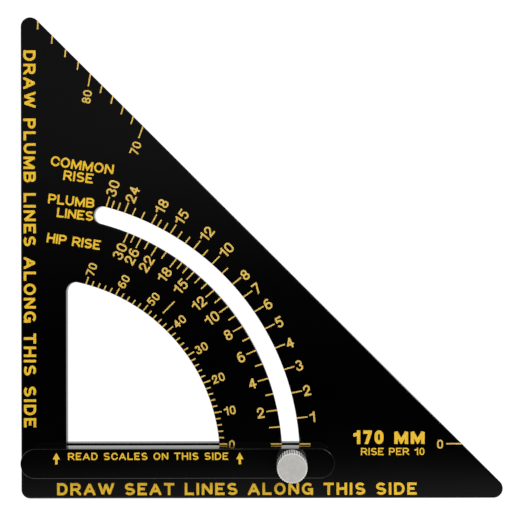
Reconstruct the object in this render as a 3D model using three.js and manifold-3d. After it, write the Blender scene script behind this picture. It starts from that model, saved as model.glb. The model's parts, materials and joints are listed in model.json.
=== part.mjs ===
// Adjustable speed square for roofing and siding layout.
//
// A flat triangular plate is sandwiched by two bars that swing as one arm about a pivot near its
// right-angle corner. A knurled thumb screw goes down through the front bar and an arc slot in the
// plate into a nut in the rear bar, and clamps the arm at any pitch. A window in the plate, under
// the slot, is the hand hold and carries the inner degree scale on its curved edge.
//
// Millimetres, +Z up. The tool lies on its back, with the plate parallel to XY and its scale side
// towards +Z. +X runs along the seat edge and +Y along the plumb edge. The origin is under the
// middle of the plate's square outline, at the level of the rear bar's back face.
//
// Every piece is drawn about the pivot axis, and the whole model is moved into place at the end.

import * as THREE from 'three';
import { mergeVertices } from 'three/addons/utils/BufferGeometryUtils.js';
import Module from 'manifold-3d';

const wasm = await Module();
wasm.setup();

// Plate
const SIDE = 171.45; // 6 3/4 in, each outer leg
const PLATE_THICKNESS = 3;
const TIP_RADIUS = 3.35; // the two 45 degree corners
const HEEL_RADIUS = 3.2; // the right-angle corner
const PLATE_CHAMFER = 0.5;
const PIVOT_FROM_PLUMB_EDGE = 6;
const PIVOT_FROM_SEAT_EDGE = 13.8;

// Window, whose curved side is an arc about the pivot
const WINDOW_LEFT = 10.05;
const WINDOW_BOTTOM = 0;
const WINDOW_RADIUS = 64.75;
const WINDOW_CORNER_RADIUS = 3.5;

// Arc slot that guides the thumb screw
const SLOT_RADIUS = 90.1;
const SLOT_WIDTH = 6.2;
const SLOT_END = THREE.MathUtils.degToRad(75.2);

// Arm bars
const BAR_WIDTH = 10.36;
const BAR_TAIL = 4.6; // behind the pivot
const BAR_REACH = 105.1; // beyond the pivot
const FRONT_BAR_THICKNESS = 5.5;
const REAR_BAR_THICKNESS = 3.4;
const BAR_CHAMFER = 0.5;

// Clearances between pieces that touch or slide on each other
const GAP = 0.25;
const SCREW_GAP = 0.2;

// Friction washers, let into the inner faces of the bars
const WASHER_THICKNESS = 0.4;
const WASHER_RADIUS = 4.2;

// Pivot
const SLEEVE_RADIUS = 2.5;
const PIVOT_SCREW_RADIUS = 1.5;
const PIVOT_SCREW_DEPTH = 3.8; // of the blind hole in the front bar
const PIVOT_HEAD_RADIUS = 3.4;
const PIVOT_HEAD_THICKNESS = 1;
const PIVOT_HEAD_SINK = 0.1; // below the rear bar's back face
const HEX_SOCKET_RADIUS = 1.3;
const HEX_SOCKET_DEPTH = 0.6;
const SPRING_WASHER_RADIUS = 3.2;
const SPRING_WASHER_HEIGHT = 0.5;
const SPRING_WASHER_SHEET = 0.3;

// Thumb screw
const STUD_RADIUS = 2;
const STUD_SINK = 0.2; // of its tip, below the rear bar's back face
const STUD_GRIP = 3; // of the stud in the knob
const SLOT_GUIDE_RADIUS = 2.85;
const NUT_RADIUS = 3.9; // across corners
const NUT_THICKNESS = 1.7;
const NUT_SINK = 0.1;
const KNOB_WASHER_RADIUS = 4.6;
const KNOB_WASHER_THICKNESS = 0.5;
const KNOB_RADIUS = 5.3;
const KNOB_HEIGHT = 5.6;
const KNOB_CHAMFER = 0.45;
const KNURL_TEETH = 36;
const KNURL_DEPTH = 0.32;

// Levels along Z, from the rear bar's back face at 0
const REAR_BAR_TOP = REAR_BAR_THICKNESS;
const PLATE_BOTTOM = REAR_BAR_TOP + GAP;
const PLATE_TOP = PLATE_BOTTOM + PLATE_THICKNESS;
const FRONT_BAR_BOTTOM = PLATE_TOP + GAP;
const FRONT_BAR_TOP = FRONT_BAR_BOTTOM + FRONT_BAR_THICKNESS;
const RECESS_DEPTH = WASHER_THICKNESS + GAP;
const REAR_WASHER_BOTTOM = REAR_BAR_TOP - WASHER_THICKNESS;
const FRONT_WASHER_TOP = FRONT_BAR_BOTTOM + WASHER_THICKNESS;
const KNOB_WASHER_BOTTOM = FRONT_BAR_TOP + GAP;
const KNOB_WASHER_TOP = KNOB_WASHER_BOTTOM + KNOB_WASHER_THICKNESS;
const KNOB_BOTTOM = KNOB_WASHER_TOP + GAP;
const KNOB_TOP = KNOB_BOTTOM + KNOB_HEIGHT;
const STUD_TOP = KNOB_BOTTOM + STUD_GRIP;
const NUT_TOP = NUT_SINK + NUT_THICKNESS;
const PIVOT_HEAD_TOP = PIVOT_HEAD_SINK + PIVOT_HEAD_THICKNESS;
const SPRING_WASHER_BOTTOM = PIVOT_HEAD_TOP + SCREW_GAP;
const SPRING_WASHER_TOP = SPRING_WASHER_BOTTOM + SPRING_WASHER_HEIGHT;
const PIVOT_SCREW_TOP = FRONT_BAR_BOTTOM + PIVOT_SCREW_DEPTH - GAP;

const BORE_OVERRUN = 1; // of a cutting tool past the face it opens
const ROUND_SIDES = 48;
const ARC_DIVISIONS = 14;
const HEX_SIDES = 6;
const WELD_DISTANCE = 1e-4; // corners closer than this are one corner

const blackPaint = { color: 0x0b0b0c, roughness: 0.3, metalness: 0.1 };
const nickelPlate = { color: 0xb4b3b0, roughness: 0.35, metalness: 0.9 };
const zincPlate = { color: 0x9a9ca0, roughness: 0.4, metalness: 0.9 };
const springSteel = { color: 0x5c5f63, roughness: 0.4, metalness: 0.9 };
const bronze = { color: 0x9a7440, roughness: 0.45, metalness: 0.9 };
const naturalNylon = { color: 0xd9d5c8, roughness: 0.6, metalness: 0 };

// Shapes ----------------------------------------------------------------------------------------

// A solid of revolution about Z, from [radius, z] points that run anticlockwise round the section.
function revolve(profile, sides = ROUND_SIDES) {
  const points = profile.map(([radius, z]) => new THREE.Vector2(radius, z));
  return new THREE.LatheGeometry(points, sides).rotateX(Math.PI / 2);
}

function rod(radius, bottom, top) {
  return revolve([[0, bottom], [radius, bottom], [radius, top], [0, top]]);
}

function ring(innerRadius, outerRadius, bottom, top) {
  return revolve([
    [innerRadius, bottom],
    [outerRadius, bottom],
    [outerRadius, top],
    [innerRadius, top],
    [innerRadius, bottom],
  ]);
}

function hexagon(radius, bottom, top) {
  const geometry = new THREE.CylinderGeometry(radius, radius, top - bottom, HEX_SIDES);
  return geometry.rotateX(Math.PI / 2).translate(0, 0, (bottom + top) / 2);
}

// An outline extruded from bottom to top, with a flat chamfer round both faces.
function chamferedSlab(shape, bottom, top, chamfer) {
  const geometry = new THREE.ExtrudeGeometry(shape, {
    depth: top - bottom - 2 * chamfer,
    bevelThickness: chamfer,
    bevelSize: chamfer,
    bevelOffset: -chamfer,
    bevelSegments: 1,
    curveSegments: ARC_DIVISIONS,
  });
  return geometry.translate(0, 0, bottom + chamfer);
}

// Solids ----------------------------------------------------------------------------------------

function toSolid(geometry) {
  const bare = geometry.clone();
  bare.deleteAttribute('normal');
  bare.deleteAttribute('uv');
  const merged = mergeVertices(bare, WELD_DISTANCE);
  const index = merged.index.array;
  const triangles = [];
  for (let i = 0; i < index.length; i += 3) {
    const [a, b, c] = index.slice(i, i + 3);
    if (a !== b && b !== c && c !== a) {
      triangles.push(a, b, c);
    }
  }
  return new wasm.Manifold(new wasm.Mesh({
    numProp: 3,
    vertProperties: new Float32Array(merged.attributes.position.array),
    triVerts: new Uint32Array(triangles),
  }));
}

function toGeometry(solid) {
  const mesh = solid.getMesh();
  const geometry = new THREE.BufferGeometry();
  geometry.setAttribute('position', new THREE.BufferAttribute(mesh.vertProperties, 3));
  geometry.setIndex(new THREE.BufferAttribute(mesh.triVerts, 1));
  return geometry;
}

function cut(geometry, ...tools) {
  const solid = tools.reduce((rest, tool) => rest.subtract(toSolid(tool)), toSolid(geometry));
  return toGeometry(solid);
}

function common(geometry, other) {
  return toGeometry(toSolid(geometry).intersect(toSolid(other)));
}

function part(name, geometry, finish) {
  const mesh = new THREE.Mesh(geometry, new THREE.MeshStandardMaterial(finish));
  mesh.name = name;
  return mesh;
}

// Plate -----------------------------------------------------------------------------------------

// The triangle with rounded corners. A tip rounded by r stops (sqrt 2) r short of the sharp
// corner, so the sharp legs are that much longer than the side that a rule would measure.
function plateOutline() {
  const left = -PIVOT_FROM_PLUMB_EDGE;
  const bottom = -PIVOT_FROM_SEAT_EDGE;
  const tipInset = SIDE - TIP_RADIUS; // of a tip's centre, from the leg's other end
  const outline = new THREE.Shape();
  outline.moveTo(left + HEEL_RADIUS, bottom);
  outline.absarc(left + tipInset, bottom + TIP_RADIUS, TIP_RADIUS, -Math.PI / 2, Math.PI / 4);
  outline.absarc(left + TIP_RADIUS, bottom + tipInset, TIP_RADIUS, Math.PI / 4, Math.PI);
  outline.absarc(left + HEEL_RADIUS, bottom + HEEL_RADIUS, HEEL_RADIUS, Math.PI, 1.5 * Math.PI);
  return outline;
}

// A corner arc that touches the curved side has its centre on a circle one corner radius inside.
function windowOutline() {
  const r = WINDOW_CORNER_RADIUS;
  const centreRadius = WINDOW_RADIUS - r;
  const left = WINDOW_LEFT + r;
  const bottom = WINDOW_BOTTOM + r;
  const right = Math.sqrt(centreRadius ** 2 - bottom ** 2);
  const top = Math.sqrt(centreRadius ** 2 - left ** 2);
  const lowAngle = Math.atan2(bottom, right);
  const highAngle = Math.atan2(top, left);
  const outline = new THREE.Path();
  outline.absarc(left, bottom, r, Math.PI, 1.5 * Math.PI);
  outline.absarc(right, bottom, r, -Math.PI / 2, lowAngle);
  outline.absarc(0, 0, WINDOW_RADIUS, lowAngle, highAngle);
  outline.absarc(left, top, r, highAngle, Math.PI);
  outline.closePath();
  return outline;
}

function slotOutline() {
  const half = SLOT_WIDTH / 2;
  const endX = SLOT_RADIUS * Math.cos(SLOT_END);
  const endY = SLOT_RADIUS * Math.sin(SLOT_END);
  const outline = new THREE.Path();
  outline.absarc(0, 0, SLOT_RADIUS + half, 0, SLOT_END);
  outline.absarc(endX, endY, half, SLOT_END, SLOT_END + Math.PI);
  outline.absarc(0, 0, SLOT_RADIUS - half, SLOT_END, 0, true);
  outline.absarc(SLOT_RADIUS, 0, half, Math.PI, 2 * Math.PI);
  return outline;
}

function squarePlate() {
  const outline = plateOutline();
  outline.holes.push(windowOutline(), slotOutline());
  const blank = chamferedSlab(outline, PLATE_BOTTOM, PLATE_TOP, PLATE_CHAMFER);
  const pivotHole = rod(SLEEVE_RADIUS + GAP, PLATE_BOTTOM - BORE_OVERRUN, PLATE_TOP + BORE_OVERRUN);
  return cut(blank, pivotHole);
}

// Arm bars --------------------------------------------------------------------------------------

function barOutline() {
  const r = BAR_WIDTH / 2;
  const outline = new THREE.Shape();
  outline.absarc(BAR_REACH - r, 0, r, -Math.PI / 2, Math.PI / 2);
  outline.absarc(r - BAR_TAIL, 0, r, Math.PI / 2, 1.5 * Math.PI);
  return outline;
}

function alongArm(geometry) {
  return geometry.translate(SLOT_RADIUS, 0, 0);
}

// The front bar shows no fastener at the pivot: its threaded hole is blind.
function frontBar() {
  const recessTop = FRONT_BAR_BOTTOM + RECESS_DEPTH;
  const below = FRONT_BAR_BOTTOM - BORE_OVERRUN;
  const recessRadius = WASHER_RADIUS + GAP;
  return cut(
    chamferedSlab(barOutline(), FRONT_BAR_BOTTOM, FRONT_BAR_TOP, BAR_CHAMFER),
    rod(recessRadius, below, recessTop),
    rod(PIVOT_SCREW_RADIUS + GAP, below, FRONT_BAR_BOTTOM + PIVOT_SCREW_DEPTH),
    alongArm(rod(recessRadius, below, recessTop)),
    alongArm(rod(STUD_RADIUS + GAP, below, FRONT_BAR_TOP + BORE_OVERRUN)),
  );
}

// The rear bar is counterbored for the pivot screw's head and has a hexagonal pocket for the nut.
function rearBar() {
  const recessBottom = REAR_BAR_TOP - RECESS_DEPTH;
  const above = REAR_BAR_TOP + BORE_OVERRUN;
  const recessRadius = WASHER_RADIUS + GAP;
  return cut(
    chamferedSlab(barOutline(), 0, REAR_BAR_TOP, BAR_CHAMFER),
    rod(recessRadius, recessBottom, above),
    rod(PIVOT_HEAD_RADIUS + GAP, -BORE_OVERRUN, SPRING_WASHER_TOP + SCREW_GAP),
    rod(PIVOT_SCREW_RADIUS + GAP, -BORE_OVERRUN, above),
    alongArm(rod(recessRadius, recessBottom, above)),
    alongArm(hexagon(NUT_RADIUS + GAP, -BORE_OVERRUN, NUT_TOP + SCREW_GAP)),
    alongArm(rod(STUD_RADIUS + GAP, -BORE_OVERRUN, above)),
  );
}

// Pivot pieces ----------------------------------------------------------------------------------

// The sleeve turns in the plate's hole and keeps the bars from pinching the plate at the pivot.
function pivotSleeve() {
  return ring(PIVOT_SCREW_RADIUS + GAP, SLEEVE_RADIUS, REAR_WASHER_BOTTOM, FRONT_WASHER_TOP);
}

function pivotWasher(bottom) {
  return ring(SLEEVE_RADIUS + GAP, WASHER_RADIUS, bottom, bottom + WASHER_THICKNESS);
}

function pivotScrew() {
  const screw = revolve([
    [0, PIVOT_HEAD_SINK],
    [PIVOT_HEAD_RADIUS, PIVOT_HEAD_SINK],
    [PIVOT_HEAD_RADIUS, PIVOT_HEAD_TOP],
    [PIVOT_SCREW_RADIUS, PIVOT_HEAD_TOP],
    [PIVOT_SCREW_RADIUS, PIVOT_SCREW_TOP - GAP],
    [PIVOT_SCREW_RADIUS - GAP, PIVOT_SCREW_TOP],
    [0, PIVOT_SCREW_TOP],
  ]);
  const socketTop = PIVOT_HEAD_SINK + HEX_SOCKET_DEPTH;
  return cut(screw, hexagon(HEX_SOCKET_RADIUS, PIVOT_HEAD_SINK - BORE_OVERRUN, socketTop));
}

// A cone of thin spring steel, whose rim sits on the screw's head.
function pivotSpringWasher() {
  const inner = PIVOT_SCREW_RADIUS + GAP;
  const sheet = SPRING_WASHER_SHEET;
  return revolve([
    [SPRING_WASHER_RADIUS, SPRING_WASHER_BOTTOM],
    [SPRING_WASHER_RADIUS, SPRING_WASHER_BOTTOM + sheet],
    [inner, SPRING_WASHER_TOP],
    [inner, SPRING_WASHER_TOP - sheet],
    [SPRING_WASHER_RADIUS, SPRING_WASHER_BOTTOM],
  ]);
}

// Thumb screw pieces ----------------------------------------------------------------------------

function clampWasher(bottom) {
  return ring(STUD_RADIUS + GAP, WASHER_RADIUS, bottom, bottom + WASHER_THICKNESS);
}

// A sleeve on the stud that runs between the slot's walls. It is as thick as the plate, so the
// washers still grip the plate's faces.
function slotGuide() {
  return ring(STUD_RADIUS + GAP, SLOT_GUIDE_RADIUS, PLATE_BOTTOM, PLATE_TOP);
}

function clampNut() {
  const block = hexagon(NUT_RADIUS, NUT_SINK, NUT_TOP);
  return cut(block, rod(STUD_RADIUS + SCREW_GAP, NUT_SINK - BORE_OVERRUN, NUT_TOP + BORE_OVERRUN));
}

function knobWasher() {
  return ring(STUD_RADIUS + GAP, KNOB_WASHER_RADIUS, KNOB_WASHER_BOTTOM, KNOB_WASHER_TOP);
}

function thumbStud() {
  return revolve([
    [0, STUD_SINK],
    [STUD_RADIUS - GAP, STUD_SINK],
    [STUD_RADIUS, STUD_SINK + GAP],
    [STUD_RADIUS, STUD_TOP],
    [0, STUD_TOP],
  ]);
}

// Straight-knurled rim: V grooves between the crests, under a plain chamfered face.
function knurledPrism() {
  const outline = new THREE.Shape();
  for (let i = 0; i < 2 * KNURL_TEETH; i += 1) {
    const angle = i * Math.PI / KNURL_TEETH;
    const radius = i % 2 ? KNOB_RADIUS - KNURL_DEPTH : KNOB_RADIUS;
    const x = radius * Math.cos(angle);
    const y = radius * Math.sin(angle);
    if (i) {
      outline.lineTo(x, y);
    } else {
      outline.moveTo(x, y);
    }
  }
  const geometry = new THREE.ExtrudeGeometry(outline, { depth: KNOB_HEIGHT, bevelEnabled: false });
  return geometry.translate(0, 0, KNOB_BOTTOM);
}

function thumbKnob() {
  const clearRadius = KNOB_RADIUS + GAP;
  const faceRadius = KNOB_RADIUS - KNOB_CHAMFER;
  const chamferHeight = KNOB_CHAMFER + GAP;
  const turnedBlank = revolve([
    [0, KNOB_BOTTOM],
    [faceRadius, KNOB_BOTTOM],
    [clearRadius, KNOB_BOTTOM + chamferHeight],
    [clearRadius, KNOB_TOP - chamferHeight],
    [faceRadius, KNOB_TOP],
    [0, KNOB_TOP],
  ]);
  const bore = rod(STUD_RADIUS + GAP, KNOB_BOTTOM - BORE_OVERRUN, STUD_TOP + GAP);
  return cut(common(knurledPrism(), turnedBlank), bore);
}

// Assembly --------------------------------------------------------------------------------------

const thumbScrewParts = new THREE.Group();
thumbScrewParts.position.x = SLOT_RADIUS;
thumbScrewParts.add(
  part('clamp_front_washer', clampWasher(FRONT_BAR_BOTTOM), naturalNylon),
  part('clamp_rear_washer', clampWasher(REAR_WASHER_BOTTOM), naturalNylon),
  part('slot_guide', slotGuide(), naturalNylon),
  part('clamp_nut', clampNut(), zincPlate),
  part('knob_washer', knobWasher(), zincPlate),
  part('thumb_stud', thumbStud(), zincPlate),
  part('thumb_knob', thumbKnob(), nickelPlate),
);

const arm = new THREE.Group();
arm.add(
  part('front_bar', frontBar(), blackPaint),
  part('rear_bar', rearBar(), blackPaint),
  part('pivot_sleeve', pivotSleeve(), bronze),
  part('pivot_front_washer', pivotWasher(FRONT_BAR_BOTTOM), naturalNylon),
  part('pivot_rear_washer', pivotWasher(REAR_WASHER_BOTTOM), naturalNylon),
  part('pivot_spring_washer', pivotSpringWasher(), springSteel),
  part('pivot_screw', pivotScrew(), zincPlate),
  thumbScrewParts,
);

const speedSquare = new THREE.Group();
speedSquare.add(part('square_plate', squarePlate(), blackPaint), arm);
speedSquare.position.set(PIVOT_FROM_PLUMB_EDGE - SIDE / 2, PIVOT_FROM_SEAT_EDGE - SIDE / 2, 0);

export default speedSquare;
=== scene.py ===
"""Adjustable speed square: finished surfaces, printed scales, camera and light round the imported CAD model.

Metres, +Z up, in the CAD frame. The tool lies on its back, with its scale side towards +Z. Shapes are
worked out in millimetres about the pivot axis, and each object's origin is on its own axis.
"""

import json
import math

import bmesh
import bpy
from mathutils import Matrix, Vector
from mathutils.geometry import delaunay_2d_cdt, tessellate_polygon


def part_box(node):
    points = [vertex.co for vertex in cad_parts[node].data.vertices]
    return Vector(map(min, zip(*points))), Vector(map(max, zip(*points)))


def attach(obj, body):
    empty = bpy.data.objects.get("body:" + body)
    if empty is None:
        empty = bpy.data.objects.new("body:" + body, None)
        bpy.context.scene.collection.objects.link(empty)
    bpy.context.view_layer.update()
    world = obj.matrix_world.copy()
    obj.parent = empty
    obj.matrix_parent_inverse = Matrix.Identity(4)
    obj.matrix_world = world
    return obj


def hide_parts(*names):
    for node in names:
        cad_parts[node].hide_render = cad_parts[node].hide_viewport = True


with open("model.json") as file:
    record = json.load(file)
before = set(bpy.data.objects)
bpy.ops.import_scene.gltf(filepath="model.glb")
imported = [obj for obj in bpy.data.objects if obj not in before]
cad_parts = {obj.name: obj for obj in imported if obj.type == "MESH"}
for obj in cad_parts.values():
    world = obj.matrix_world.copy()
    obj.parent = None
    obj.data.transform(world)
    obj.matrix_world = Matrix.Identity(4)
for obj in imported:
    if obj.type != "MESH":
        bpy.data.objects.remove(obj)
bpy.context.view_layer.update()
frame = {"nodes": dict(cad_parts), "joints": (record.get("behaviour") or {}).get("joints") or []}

MM = 0.001
joints = {joint["name"]: joint for joint in frame["joints"]}
PIVOT = Vector(joints["arm_swing"]["pos_m"])
CLAMP = Vector(joints["thumb_screw_turn"]["pos_m"])
PIVOT_AXIS = Vector((PIVOT.x, PIVOT.y, 0))
CLAMP_AXIS = Vector((CLAMP.x, CLAMP.y, 0))
CLAMP_X = (CLAMP.x - PIVOT.x) / MM


def levels(node):
    """A CAD node's lowest and highest level, in millimetres."""
    low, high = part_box(node)
    return low.z / MM, high.z / MM


PLATE_BOTTOM, PLATE_TOP = levels("square_plate")
FRONT_BOTTOM, FRONT_TOP = levels("front_bar")
REAR_BOTTOM, REAR_TOP = levels("rear_bar")
plate_low, plate_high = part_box("square_plate")
bar_low, bar_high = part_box("front_bar")

# Plate, in millimetres from the pivot
PLATE_LEFT = (plate_low.x - PIVOT.x) / MM
PLATE_FOOT = (plate_low.y - PIVOT.y) / MM
PLATE_SIDE = (plate_high.x - plate_low.x) / MM
TIP_RADIUS = 3.35
HEEL_RADIUS = 3.2
PLATE_FILLET = 0.14
ROLL_WIDTH = 0.6
ROLL_ANGLE = math.radians(14)
WINDOW_LEFT = 10.05
WINDOW_BOTTOM = 0
WINDOW_RADIUS = 64.75
WINDOW_CORNER = 3.5
SLOT_RADIUS = CLAMP_X
SLOT_HALF_WIDTH = 3.1
SLOT_END = math.radians(75.2)
PIVOT_HOLE = 2.75
PIVOT_HOLE_FILLET = 0.2
DIAGONAL = PLATE_LEFT + PLATE_FOOT + PLATE_SIDE + TIP_RADIUS * math.sqrt(2)  # x + y along it

# Arm
BAR_TAIL = (bar_low.x - PIVOT.x) / MM
BAR_TIP = (bar_high.x - PIVOT.x) / MM
BAR_HALF_WIDTH = (bar_high.y - bar_low.y) / MM / 2
BAR_FILLET = 0.2
REAR_FILLET = 0.3
RECESS_RADIUS = 4.45
RECESS_DEPTH = 0.65
PIVOT_BORE = 1.75
PIVOT_BORE_DEPTH = 3.8
STUD_BORE = 2.25
HEAD_BORE = 3.65
HEAD_BORE_DEPTH = 2.0
NUT_POCKET = 4.15
NUT_POCKET_DEPTH = 2.0

# Outlines --------------------------------------------------------------------------------------

ARC_STEP = math.radians(6)


def arc(cx, cy, radius, start, end, step=ARC_STEP):
    """Points along an arc, in steps of at most step."""
    count = max(3, math.ceil(abs(end - start) / step - 1e-6))
    angles = [start + (end - start) * i / count for i in range(count + 1)]
    return [(cx + radius * math.cos(a), cy + radius * math.sin(a)) for a in angles]


def circle(radius, cx=0, sides=64):
    return [(cx + radius * math.cos(2 * math.pi * i / sides),
             radius * math.sin(2 * math.pi * i / sides)) for i in range(sides)]


def hexagon(radius, cx=0):
    return circle(radius, cx, sides=6)


def plate_outline(inset):
    """The rounded triangle, moved in by inset."""
    far = PLATE_SIDE - TIP_RADIUS
    tip = TIP_RADIUS - inset
    heel = HEEL_RADIUS - inset
    return (arc(PLATE_LEFT + far, PLATE_FOOT + TIP_RADIUS, tip, -math.pi / 2, math.pi / 4)
            + arc(PLATE_LEFT + TIP_RADIUS, PLATE_FOOT + far, tip, math.pi / 4, math.pi)
            + arc(PLATE_LEFT + HEEL_RADIUS, PLATE_FOOT + HEEL_RADIUS, heel, math.pi, 1.5 * math.pi))


def window_outline(inset):
    """The hand-hold opening, whose curved side is an arc about the pivot, made larger by inset."""
    centre = WINDOW_RADIUS - WINDOW_CORNER
    left, low = WINDOW_LEFT + WINDOW_CORNER, WINDOW_BOTTOM + WINDOW_CORNER
    right, high = math.sqrt(centre**2 - low**2), math.sqrt(centre**2 - left**2)
    start, end = math.atan2(low, right), math.atan2(high, left)
    corner = WINDOW_CORNER + inset
    fine = ARC_STEP / 3
    return (arc(left, low, corner, math.pi, 1.5 * math.pi)
            + arc(right, low, corner, -math.pi / 2, start)
            + arc(0, 0, WINDOW_RADIUS + inset, start, end, fine)[1:-1]
            + arc(left, high, corner, end, math.pi))


def slot_outline(inset):
    """The arc slot with its round ends, made larger by inset."""
    half = SLOT_HALF_WIDTH + inset
    end_x, end_y = SLOT_RADIUS * math.cos(SLOT_END), SLOT_RADIUS * math.sin(SLOT_END)
    fine = ARC_STEP / 4
    return (arc(0, 0, SLOT_RADIUS + half, 0, SLOT_END, fine)
            + arc(end_x, end_y, half, SLOT_END, SLOT_END + math.pi)[1:]
            + arc(0, 0, SLOT_RADIUS - half, SLOT_END, 0, fine)[1:]
            + arc(SLOT_RADIUS, 0, half, math.pi, 2 * math.pi)[1:-1])


def bar_outline(inset):
    """The round-ended bar, moved in by inset."""
    radius = BAR_HALF_WIDTH - inset
    return (arc(BAR_TIP - BAR_HALF_WIDTH, 0, radius, -math.pi / 2, math.pi / 2)
            + arc(BAR_TAIL + BAR_HALF_WIDTH, 0, radius, math.pi / 2, 1.5 * math.pi))


# Solids ----------------------------------------------------------------------------------------

FILLET_STEPS = 6
QUARTER_TURN = [math.pi / 2 * i / FILLET_STEPS for i in range(FILLET_STEPS + 1)]
ROLL_STEPS = 5
SHARP_ANGLE = math.radians(32)


def fillet(outline, radius, bottom, top, bottom_radius=None):
    """Levels of an outline with rounded edges: (points, z) from bottom to top."""
    low = radius if bottom_radius is None else bottom_radius
    rings = [(outline(low * (1 - math.sin(a))), bottom + low * (1 - math.cos(a))) for a in QUARTER_TURN]
    rings += [(outline(radius * (1 - math.cos(a))), top - radius * (1 - math.sin(a))) for a in QUARTER_TURN]
    return rings


# The plate is stamped, so its upper edges roll over gently before their tight rounding.
ROLL_START = PLATE_FILLET * (1 - math.sin(ROLL_ANGLE))


def roll_drop(distance):
    """How far the plate's face has fallen at a distance in from its edge."""
    rest = max(0, ROLL_START + ROLL_WIDTH - max(distance, ROLL_START))
    drop = math.tan(ROLL_ANGLE) * rest**2 / (2 * ROLL_WIDTH)
    if distance < ROLL_START:
        lean = math.asin(1 - distance / PLATE_FILLET)
        drop += PLATE_FILLET * (math.cos(ROLL_ANGLE) - math.cos(lean))
    return drop


def stamped(outline, bottom, top):
    """Levels of a plate outline: rounded below, rounded and rolled over above."""
    rings = [(outline(PLATE_FILLET * (1 - math.sin(a))), bottom + PLATE_FILLET * (1 - math.cos(a)))
             for a in QUARTER_TURN]
    rounding = [math.pi / 2 + (ROLL_ANGLE - math.pi / 2) * i / FILLET_STEPS for i in range(FILLET_STEPS + 1)]
    insets = [PLATE_FILLET * (1 - math.sin(a)) for a in rounding]
    insets += [ROLL_START + ROLL_WIDTH * (i + 1) / ROLL_STEPS for i in range(ROLL_STEPS)]
    return rings + [(outline(inset), top - roll_drop(inset)) for inset in insets]


class Solid:
    """A closed mesh put together from rings of points, in millimetres."""

    def __init__(self):
        self.bm = bmesh.new()
        self.flats = set()

    def ring(self, points, z):
        return [self.bm.verts.new((x * MM, y * MM, z * MM)) for x, y in points]

    def wall(self, low, high):
        count = len(low)
        for i in range(count):
            j = (i + 1) % count
            self.bm.faces.new((low[i], low[j], high[j], high[i]))

    def side(self, rings):
        """Joins (points, z) levels into one wall, and gives its first and last ring."""
        made = [self.ring(points, z) for points, z in rings]
        for low, high in zip(made, made[1:]):
            self.wall(low, high)
        return made[0], made[-1]

    def flat(self, *loops):
        """A level face between an outer ring and any inner ones."""
        verts = [v for loop in loops for v in loop]
        for corners in tessellate_polygon([[v.co for v in loop] for loop in loops]):
            self.flats.add(self.bm.faces.new([verts[i] for i in corners]))

    def bore(self, steps):
        """A stepped hole from (points, start z, end z) steps. Gives its two end rings."""
        first = last = None
        for points, start, end in steps:
            near, far = self.side([(points, start), (points, end)])
            if last:
                self.flat(*sorted((last, near), key=spread, reverse=True))
            else:
                first = near
            last = far
        return first, last

    def make(self, name, origin, body, material, slot, replaces):
        """Makes the piece, with smooth shading that breaks at flat faces and sharp edges."""
        bmesh.ops.recalc_face_normals(self.bm, faces=self.bm.faces[:])
        for face in self.bm.faces:
            face.smooth = True
        for edge in self.bm.edges:
            flats = sum(face in self.flats for face in edge.link_faces)
            edge.smooth = flats != 1 and edge.calc_face_angle(0) < SHARP_ANGLE
        mesh = bpy.data.meshes.new(name)
        self.bm.to_mesh(mesh)
        self.bm.free()
        mesh.materials.append(material)
        piece = bpy.data.objects.new(name, mesh)
        piece.location = origin
        bpy.context.scene.collection.objects.link(piece)
        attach(piece, body)
        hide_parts(*replaces)
        return piece


def spread(loop):
    """A ring's width, which tells an outer ring from an inner one."""
    return max(v.co.x for v in loop) - min(v.co.x for v in loop)


def revolved(profile, sides=64):
    """A closed ring of revolution about Z, from [radius, z] points round its section."""
    solid = Solid()
    made = [solid.ring(circle(radius, sides=sides), z) for radius, z in profile]
    for low, high in zip(made, made[1:] + made[:1]):
        solid.wall(low, high)
    return solid


# Materials -------------------------------------------------------------------------------------


class Nodes:
    """Shorthand for a material's node tree."""

    def __init__(self, name):
        self.material = bpy.data.materials.new(name)
        self.material.use_nodes = True
        self.tree = self.material.node_tree
        self.shader = self.tree.nodes["Principled BSDF"]
        self.place = self.add("ShaderNodeTexCoord").outputs["Object"]

    def add(self, kind, links=(), **settings):
        node = self.tree.nodes.new(kind)
        for key, value in settings.items():
            setattr(node, key, value)
        for socket, source in dict(links).items():
            if isinstance(source, bpy.types.NodeSocket):
                self.tree.links.new(source, node.inputs[socket])
            else:
                node.inputs[socket].default_value = source
        return node

    def noise(self, scale, detail=3):
        node = self.add("ShaderNodeTexNoise", {"Vector": self.place, "Scale": scale, "Detail": detail})
        return node.outputs["Fac"]

    def ramp(self, value, low, high, start=0.3, end=0.7):
        """Maps value from start..end to low..high."""
        node = self.add("ShaderNodeMapRange", {"Value": value, "From Min": start, "From Max": end,
                                               "To Min": low, "To Max": high})
        return node.outputs["Result"]

    def blend(self, factor, first, second):
        """A colour between two, by factor."""
        node = self.add("ShaderNodeMix", {0: factor, 6: (*first, 1), 7: (*second, 1)}, data_type="RGBA")
        return node.outputs[2]

    def set(self, **values):
        """Sets or links the shader's sockets, named with underscores for spaces."""
        for key, value in values.items():
            socket = self.shader.inputs[key.replace("_", " ")]
            if isinstance(value, bpy.types.NodeSocket):
                self.tree.links.new(value, socket)
            else:
                socket.default_value = value

    def bump(self, height, strength, distance):
        node = self.add("ShaderNodeBump", {"Height": height, "Strength": strength, "Distance": distance})
        self.tree.links.new(node.outputs["Normal"], self.shader.inputs["Normal"])


def paint(name, smooth, rough):
    """Gloss black enamel with a very slight orange peel and a few duller patches."""
    n = Nodes(name)
    n.set(Base_Color=n.blend(n.noise(400), (0.0002, 0.0002, 0.00025), (0.0004, 0.0004, 0.0005)),
          Roughness=n.ramp(n.noise(45), smooth, rough))
    n.bump(n.noise(900, detail=2), 0.06, 0.00002)
    return n.material


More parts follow.
